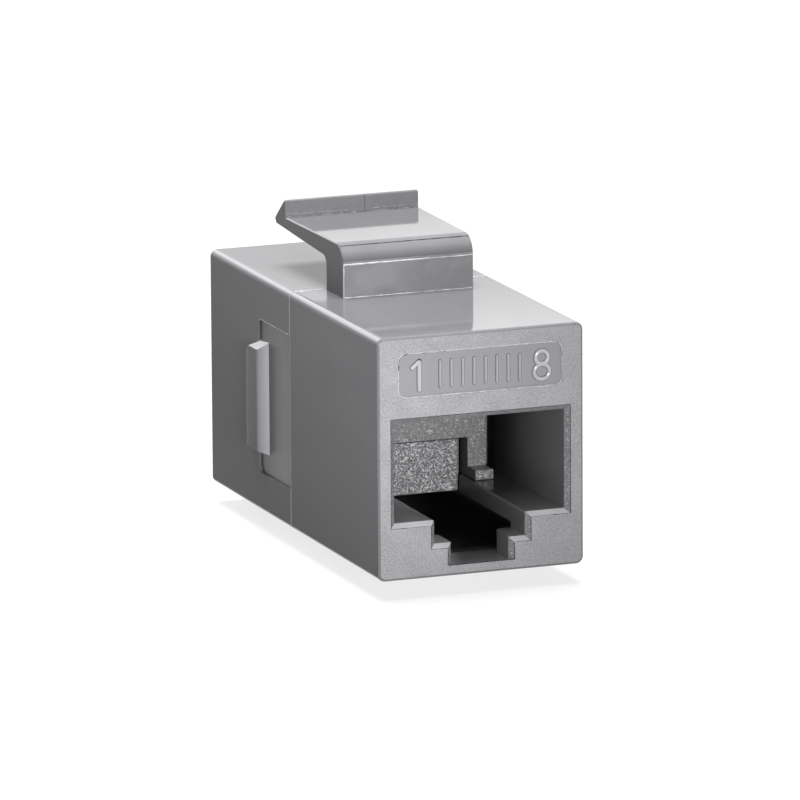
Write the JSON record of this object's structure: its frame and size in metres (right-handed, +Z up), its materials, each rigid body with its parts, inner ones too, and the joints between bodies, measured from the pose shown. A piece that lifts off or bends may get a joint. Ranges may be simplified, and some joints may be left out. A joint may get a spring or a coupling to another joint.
{
  "type": "rj45 inline coupler",
  "caption": "Snap-in coupler body with a modular socket in each end face, a spring latch on top and spring contacts joined through a small board.",
  "frame": {"origin": "bottom centre of the whole part, level with the fixed lug's lower face, midway between the end faces", "axes": "+Z up through the latch, -Y out of the front socket, +X to the right seen from the front"},
  "size_m": [0.0154, 0.032, 0.0223],
  "materials": {
    "housing_plastic": "grey moulded plastic, smooth outside, spark-textured faces",
    "insert_plastic": "grey moulded plastic, rough",
    "board_laminate": "green solder mask",
    "contact_metal": "gold-plated spring bronze",
    "solder": "tin solder"
  },
  "bodies": {
    "root": {"front_housing": "housing_plastic", "rear_housing": "housing_plastic", "front_insert": "insert_plastic", "rear_insert": "insert_plastic", "circuit_board": "board_laminate", "solder_joints": "solder", "front_contact_1": "contact_metal", "front_contact_2": "contact_metal", "front_contact_3": "contact_metal", "front_contact_4": "contact_metal", "front_contact_5": "contact_metal", "front_contact_6": "contact_metal", "front_contact_7": "contact_metal", "front_contact_8": "contact_metal", "rear_contact_1": "contact_metal", "rear_contact_2": "contact_metal", "rear_contact_3": "contact_metal", "rear_contact_4": "contact_metal", "rear_contact_5": "contact_metal", "rear_contact_6": "contact_metal", "rear_contact_7": "contact_metal", "rear_contact_8": "contact_metal"}
  },
  "joints": []
}
